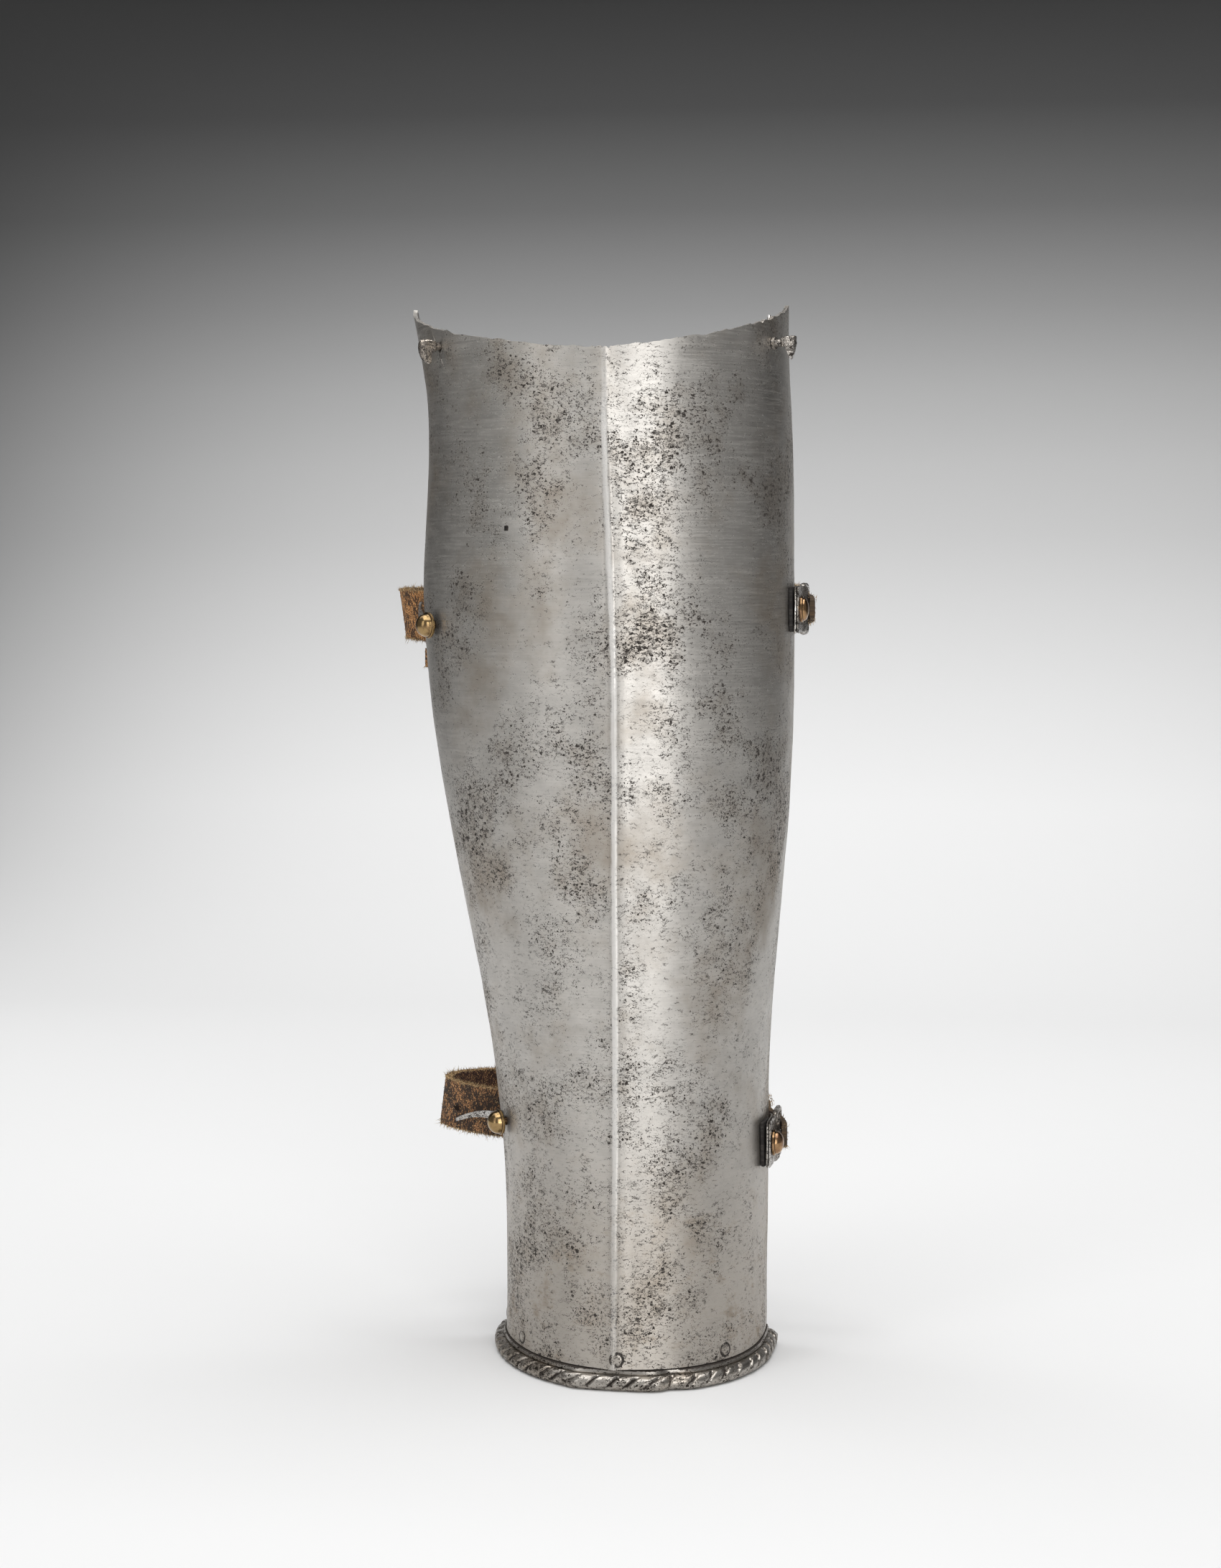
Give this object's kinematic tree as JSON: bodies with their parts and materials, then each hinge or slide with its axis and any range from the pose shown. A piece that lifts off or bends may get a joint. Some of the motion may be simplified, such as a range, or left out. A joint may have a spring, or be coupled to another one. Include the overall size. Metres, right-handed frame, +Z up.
{
  "type": "greave",
  "caption": "Steel half greave for the shin, with a raised keel, a roped border at the instep, hooked turning pins at the knee and leather straps with buckles round the calf.",
  "frame": {"origin": "flat underside of the roped border, below the keel", "axes": "+Z up along the shin, the keel facing -Y, +X to the side that holds the buckles"},
  "size_m": [0.1515, 0.1305, 0.366],
  "materials": {
    "plate_steel": "worn, brushed and finely pitted",
    "border_steel": "filed like a rope, worn bright on the crests",
    "rivet_steel": "flush, with dark rings",
    "tongue_steel": "bright and lightly scratched",
    "pin_steel": "forged, dark and worn",
    "strap_leather": "worn brown, orange where rubbed, with rough cut edges",
    "tab_leather": "blackened",
    "buckle_iron": "hammered, with rough edges",
    "rivet_brass": "polished, lightly tarnished"
  },
  "bodies": {
    "greave": {"greave_plate": "plate_steel", "ankle_flange": "border_steel", "flange_rivet_1": "rivet_steel", "flange_rivet_2": "rivet_steel", "flange_rivet_3": "rivet_steel", "flange_rivet_4": "rivet_steel", "flange_rivet_5": "rivet_steel", "strap_upper": "strap_leather", "strap_lower": "strap_leather", "strap_tab_upper": "strap_leather", "strap_rivet_upper": "rivet_brass", "strap_rivet_lower": "rivet_brass", "strap_tongue_upper": "tongue_steel", "strap_tongue_lower": "tongue_steel", "buckle_tab_upper": "tab_leather", "buckle_tab_lower": "tab_leather", "buckle_chape_upper": "buckle_iron", "buckle_chape_lower": "buckle_iron", "buckle_frame_upper": "buckle_iron", "buckle_frame_lower": "buckle_iron", "buckle_tongue_upper": "buckle_iron", "buckle_tongue_lower": "buckle_iron", "buckle_rivet_upper": "rivet_brass", "buckle_rivet_lower": "rivet_brass", "pin_keeper": "pin_steel"},
    "pin_left": {"turning_pin_left": "pin_steel"},
    "pin_right": {"turning_pin_right": "pin_steel"}
  },
  "joints": [
    {"name": "pin_left_turn", "type": "hinge", "parent": "greave", "child": "pin_left", "pos_m": [-0.06339, 0.03341, 0.35026], "axis": [-0.7761, -0.6236, -0.0939], "continuous": true},
    {"name": "pin_right_turn", "type": "hinge", "parent": "greave", "child": "pin_right", "pos_m": [0.04922, 0.04296, 0.35081], "axis": [0.942, -0.3347, 0.0247], "continuous": true}
  ]
}
